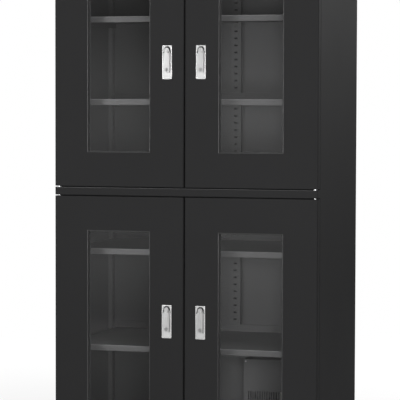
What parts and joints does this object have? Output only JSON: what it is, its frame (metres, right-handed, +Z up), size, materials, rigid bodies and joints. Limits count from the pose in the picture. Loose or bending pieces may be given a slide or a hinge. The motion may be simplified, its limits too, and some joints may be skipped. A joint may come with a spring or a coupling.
{
  "type": "electronic dry cabinet",
  "caption": "Tall steel dry cabinet with windowed doors, flush swing-lever locks, adjustable shelves, a drying unit and swivel casters.",
  "frame": {"origin": "on the floor under the middle of the cabinet's bounding box", "axes": "+X across the doors towards the viewer's right, +Y from the doors to the rear panel, +Z up"},
  "size_m": [0.9, 0.608, 1.89],
  "materials": {
    "body_paint": "matt black powder coat",
    "inner_paint": "dark grey powder coat",
    "shelf_paint": "grey powder coat",
    "clip_steel": "zinc plated",
    "window_glass": "clear toughened glass",
    "seal_rubber": "matt",
    "lock_metal": "satin nickel",
    "key_metal": "satin",
    "display_lens": "smoked gloss",
    "circuit_board": "lacquered",
    "button_plastic": "satin silver",
    "dryer_plastic": "fine grain",
    "inlet_plastic": "fine grain",
    "caster_steel": "zinc plated",
    "caster_rubber": "matt"
  },
  "bodies": {
    "root": {"left_side_panel": "body_paint", "right_side_panel": "body_paint", "rear_panel": "body_paint", "roof_panel": "body_paint", "base_pan": "body_paint", "centre_mullion": "inner_paint", "mid_rail": "body_paint", "header_panel": "body_paint", "display_module": "circuit_board", "display_window": "display_lens", "shelf_uprights": "inner_paint", "shelves": "shelf_paint", "shelf_clips": "clip_steel", "dryer_housing": "inner_paint", "dryer_core": "dryer_plastic", "power_inlet": "inlet_plastic", "hinge_pins": "clip_steel"},
    "door_ul": {"door_ul_skin": "body_paint", "door_ul_liner": "inner_paint", "door_ul_glass": "window_glass", "door_ul_seals": "seal_rubber", "lock_ul_plate": "lock_metal"},
    "spindle_ul": {"lock_ul_spindle": "lock_metal"},
    "lever_ul": {"lock_ul_lever": "lock_metal"},
    "key_ul": {"lock_ul_key_core": "key_metal"},
    "door_ur": {"door_ur_skin": "body_paint", "door_ur_liner": "inner_paint", "door_ur_glass": "window_glass", "door_ur_seals": "seal_rubber", "lock_ur_plate": "lock_metal"},
    "spindle_ur": {"lock_ur_spindle": "lock_metal"},
    "lever_ur": {"lock_ur_lever": "lock_metal"},
    "key_ur": {"lock_ur_key_core": "key_metal"},
    "door_ll": {"door_ll_skin": "body_paint", "door_ll_liner": "inner_paint", "door_ll_glass": "window_glass", "door_ll_seals": "seal_rubber", "lock_ll_plate": "lock_metal"},
    "spindle_ll": {"lock_ll_spindle": "lock_metal"},
    "lever_ll": {"lock_ll_lever": "lock_metal"},
    "key_ll": {"lock_ll_key_core": "key_metal"},
    "door_lr": {"door_lr_skin": "body_paint", "door_lr_liner": "inner_paint", "door_lr_glass": "window_glass", "door_lr_seals": "seal_rubber", "lock_lr_plate": "lock_metal"},
    "spindle_lr": {"lock_lr_spindle": "lock_metal"},
    "lever_lr": {"lock_lr_lever": "lock_metal"},
    "key_lr": {"lock_lr_key_core": "key_metal"},
    "button_up": {"button_up": "button_plastic"},
    "button_down": {"button_down": "button_plastic"},
    "fan": {"dryer_fan": "dryer_plastic"},
    "fork_fl": {"caster_fork_fl": "caster_steel"},
    "wheel_fl": {"caster_wheel_fl": "caster_rubber"},
    "fork_fr": {"caster_fork_fr": "caster_steel"},
    "wheel_fr": {"caster_wheel_fr": "caster_rubber"},
    "fork_rl": {"caster_fork_rl": "caster_steel"},
    "wheel_rl": {"caster_wheel_rl": "caster_rubber"},
    "fork_rr": {"caster_fork_rr": "caster_steel"},
    "wheel_rr": {"caster_wheel_rr": "caster_rubber"}
  },
  "joints": [
    {"name": "door_ul_hinge", "type": "hinge", "parent": "root", "child": "door_ul", "pos_m": [-0.438, -0.28195, 1.3805], "axis": [0, 0, -1], "range_deg": [0, 110]},
    {"name": "lock_ul_turn", "type": "hinge", "parent": "door_ul", "child": "spindle_ul", "pos_m": [-0.05775, -0.29595, 1.42], "axis": [0, 1, 0], "range_deg": [0, 90]},
    {"name": "lock_ul_lift", "type": "hinge", "parent": "spindle_ul", "child": "lever_ul", "pos_m": [-0.05775, -0.30125, 1.42], "axis": [-1, 0, 0], "range_deg": [0, 35]},
    {"name": "lock_ul_key_turn", "type": "hinge", "parent": "lever_ul", "child": "key_ul", "pos_m": [-0.05775, -0.30125, 1.356], "axis": [0, -1, 0], "range_deg": [0, 90]},
    {"name": "door_ur_hinge", "type": "hinge", "parent": "root", "child": "door_ur", "pos_m": [0.438, -0.28195, 1.3805], "axis": [0, 0, 1], "range_deg": [0, 110]},
    {"name": "lock_ur_turn", "type": "hinge", "parent": "door_ur", "child": "spindle_ur", "pos_m": [0.05775, -0.29595, 1.42], "axis": [0, -1, 0], "range_deg": [0, 90]},
    {"name": "lock_ur_lift", "type": "hinge", "parent": "spindle_ur", "child": "lever_ur", "pos_m": [0.05775, -0.30125, 1.42], "axis": [-1, 0, 0], "range_deg": [0, 35]},
    {"name": "lock_ur_key_turn", "type": "hinge", "parent": "lever_ur", "child": "key_ur", "pos_m": [0.05775, -0.30125, 1.356], "axis": [0, -1, 0], "range_deg": [0, 90]},
    {"name": "door_ll_hinge", "type": "hinge", "parent": "root", "child": "door_ll", "pos_m": [-0.438, -0.28195, 0.5275], "axis": [0, 0, -1], "range_deg": [0, 110]},
    {"name": "lock_ll_turn", "type": "hinge", "parent": "door_ll", "child": "spindle_ll", "pos_m": [-0.05775, -0.29595, 0.567], "axis": [0, 1, 0], "range_deg": [0, 90]},
    {"name": "lock_ll_lift", "type": "hinge", "parent": "spindle_ll", "child": "lever_ll", "pos_m": [-0.05775, -0.30125, 0.567], "axis": [-1, 0, 0], "range_deg": [0, 35]},
    {"name": "lock_ll_key_turn", "type": "hinge", "parent": "lever_ll", "child": "key_ll", "pos_m": [-0.05775, -0.30125, 0.503], "axis": [0, -1, 0], "range_deg": [0, 90]},
    {"name": "door_lr_hinge", "type": "hinge", "parent": "root", "child": "door_lr", "pos_m": [0.438, -0.28195, 0.5275], "axis": [0, 0, 1], "range_deg": [0, 110]},
    {"name": "lock_lr_turn", "type": "hinge", "parent": "door_lr", "child": "spindle_lr", "pos_m": [0.05775, -0.29595, 0.567], "axis": [0, -1, 0], "range_deg": [0, 90]},
    {"name": "lock_lr_lift", "type": "hinge", "parent": "spindle_lr", "child": "lever_lr", "pos_m": [0.05775, -0.30125, 0.567], "axis": [-1, 0, 0], "range_deg": [0, 35]},
    {"name": "lock_lr_key_turn", "type": "hinge", "parent": "lever_lr", "child": "key_lr", "pos_m": [0.05775, -0.30125, 0.503], "axis": [0, -1, 0], "range_deg": [0, 90]},
    {"name": "button_up_press", "type": "slide", "parent": "root", "child": "button_up", "axis": [0, 1, 0], "range_m": [0, 0.0015], "stiffness_N_per_m": 500, "springref_m": -0.0005},
    {"name": "button_down_press", "type": "slide", "parent": "root", "child": "button_down", "axis": [0, 1, 0], "range_m": [0, 0.0015], "stiffness_N_per_m": 500, "springref_m": -0.0005},
    {"name": "fan_spin", "type": "hinge", "parent": "root", "child": "fan", "pos_m": [0.14, 0.22005, 0.219], "axis": [0, -1, 0], "continuous": true},
    {"name": "caster_fl_swivel", "type": "hinge", "parent": "root", "child": "fork_fl", "pos_m": [-0.378, -0.18995, 0.088], "axis": [0, 0, 1], "continuous": true},
    {"name": "caster_fl_roll", "type": "hinge", "parent": "fork_fl", "child": "wheel_fl", "pos_m": [-0.378, -0.21395, 0.0325], "axis": [1, 0, 0], "continuous": true},
    {"name": "caster_fr_swivel", "type": "hinge", "parent": "root", "child": "fork_fr", "pos_m": [0.378, -0.18995, 0.088], "axis": [0, 0, 1], "continuous": true},
    {"name": "caster_fr_roll", "type": "hinge", "parent": "fork_fr", "child": "wheel_fr", "pos_m": [0.378, -0.21395, 0.0325], "axis": [1, 0, 0], "continuous": true},
    {"name": "caster_rl_swivel", "type": "hinge", "parent": "root", "child": "fork_rl", "pos_m": [-0.378, 0.23205, 0.088], "axis": [0, 0, 1], "continuous": true},
    {"name": "caster_rl_roll", "type": "hinge", "parent": "fork_rl", "child": "wheel_rl", "pos_m": [-0.378, 0.25605, 0.0325], "axis": [1, 0, 0], "continuous": true},
    {"name": "caster_rr_swivel", "type": "hinge", "parent": "root", "child": "fork_rr", "pos_m": [0.378, 0.23205, 0.088], "axis": [0, 0, 1], "continuous": true},
    {"name": "caster_rr_roll", "type": "hinge", "parent": "fork_rr", "child": "wheel_rr", "pos_m": [0.378, 0.25605, 0.0325], "axis": [1, 0, 0], "continuous": true}
  ]
}
